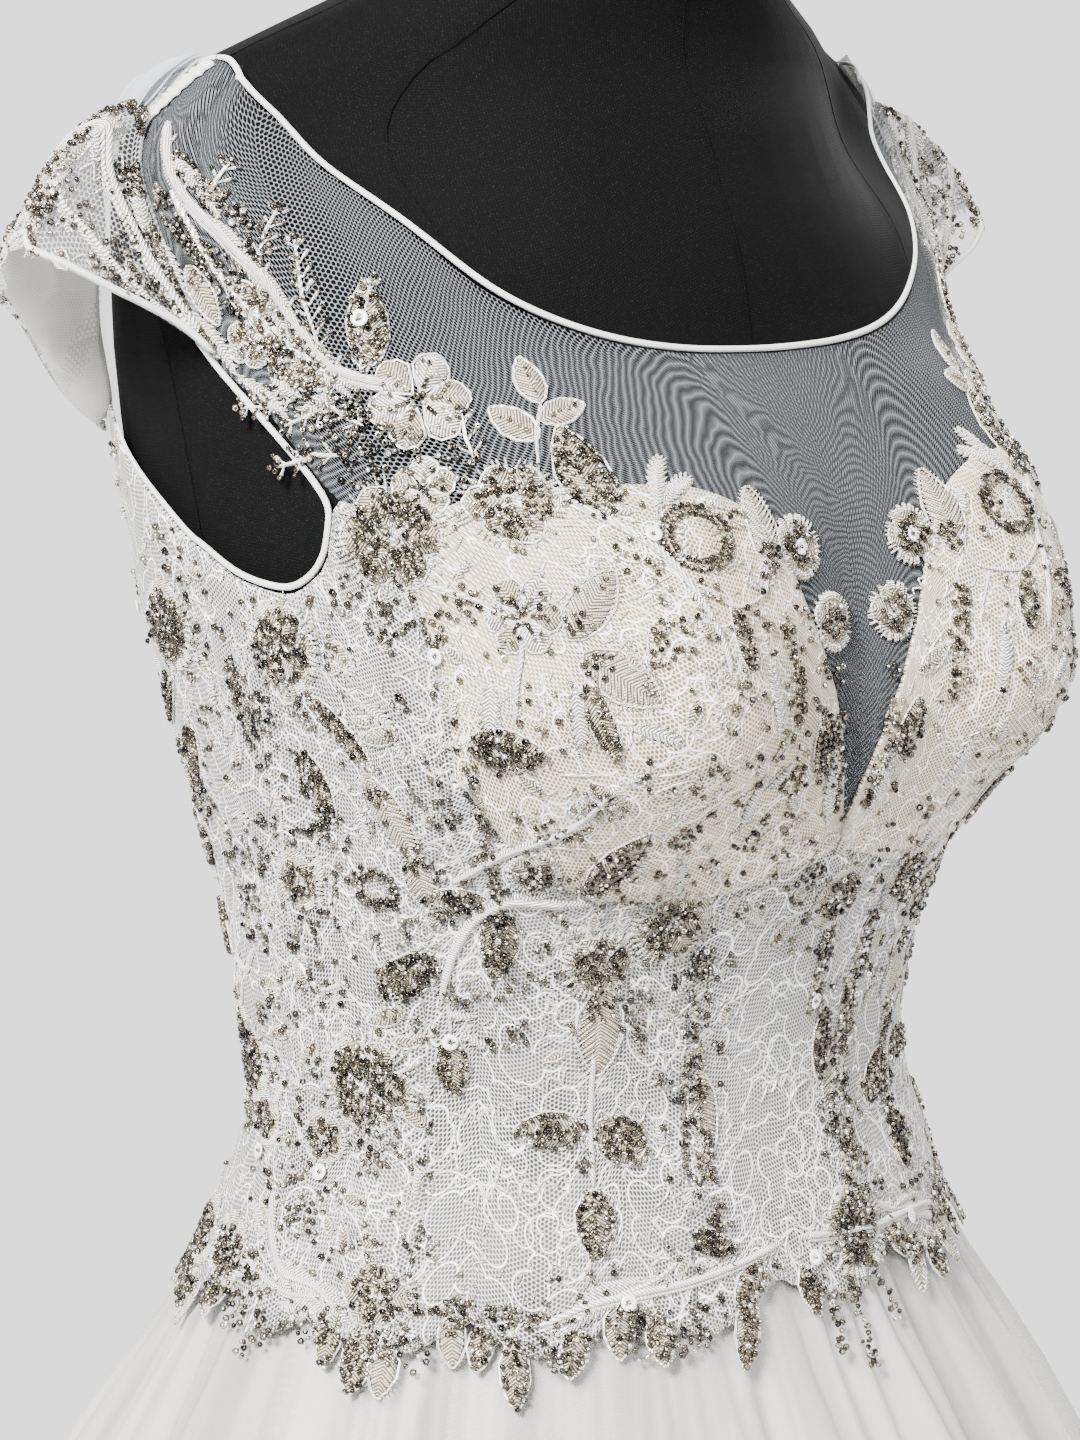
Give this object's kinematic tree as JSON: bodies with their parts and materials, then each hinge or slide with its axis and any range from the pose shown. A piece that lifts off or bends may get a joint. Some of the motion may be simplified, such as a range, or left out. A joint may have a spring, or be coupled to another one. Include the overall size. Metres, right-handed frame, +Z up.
{
  "type": "wedding dress on a dress form with stand",
  "caption": "Floor-length wedding dress with an illusion neckline, beaded lace bodice, cap sleeves and a gathered tulle skirt, worn by a limbless dress form on a stand.",
  "frame": {"origin": "on the floor under the middle of the stand's base and the skirt's hem", "axes": "+Z up, +X towards the wearer's left, -Y towards the front"},
  "size_m": [1.1544, 1.128, 1.5363],
  "materials": {
    "net": "sheer illusion tulle",
    "lace": "beaded and corded lace on net",
    "padding": "padded cup under beaded lace",
    "binding": "narrow folded binding",
    "satin": "soft satin",
    "tulle": "gathered matt tulle",
    "jersey": "black jersey cover",
    "steel": "black powder coat"
  },
  "bodies": {
    "root": {"armhole_binding_left": "binding", "armhole_binding_right": "binding", "back_placket": "satin", "bodice_back_left": "lace", "bodice_back_right": "lace", "bodice_front_centre": "lace", "bodice_front_left": "lace", "bodice_front_right": "lace", "bodice_side_back_left": "lace", "bodice_side_back_right": "lace", "bodice_side_left": "lace", "bodice_side_right": "lace", "button_01": "satin", "button_02": "satin", "button_03": "satin", "button_04": "satin", "button_05": "satin", "button_06": "satin", "button_07": "satin", "button_08": "satin", "button_09": "satin", "button_10": "satin", "cap_sleeve_left": "lace", "cap_sleeve_right": "lace", "cup_left": "padding", "cup_right": "padding", "form_neck_cap": "jersey", "form_torso": "jersey", "neck_binding_back_left": "binding", "neck_binding_back_right": "binding", "neck_binding_front": "binding", "shoulder_seam_left": "binding", "shoulder_seam_right": "binding", "skirt_lining_back": "satin", "skirt_lining_front": "satin", "skirt_lining_left_back": "satin", "skirt_lining_left_front": "satin", "skirt_lining_right_back": "satin", "skirt_lining_right_front": "satin", "skirt_tulle_back": "tulle", "skirt_tulle_front": "tulle", "skirt_tulle_left_back": "tulle", "skirt_tulle_left_front": "tulle", "skirt_tulle_right_back": "tulle", "skirt_tulle_right_front": "tulle", "stand_base": "steel", "stand_pole": "steel", "yoke_back_left": "net", "yoke_back_right": "net", "yoke_front": "net"}
  },
  "joints": []
}
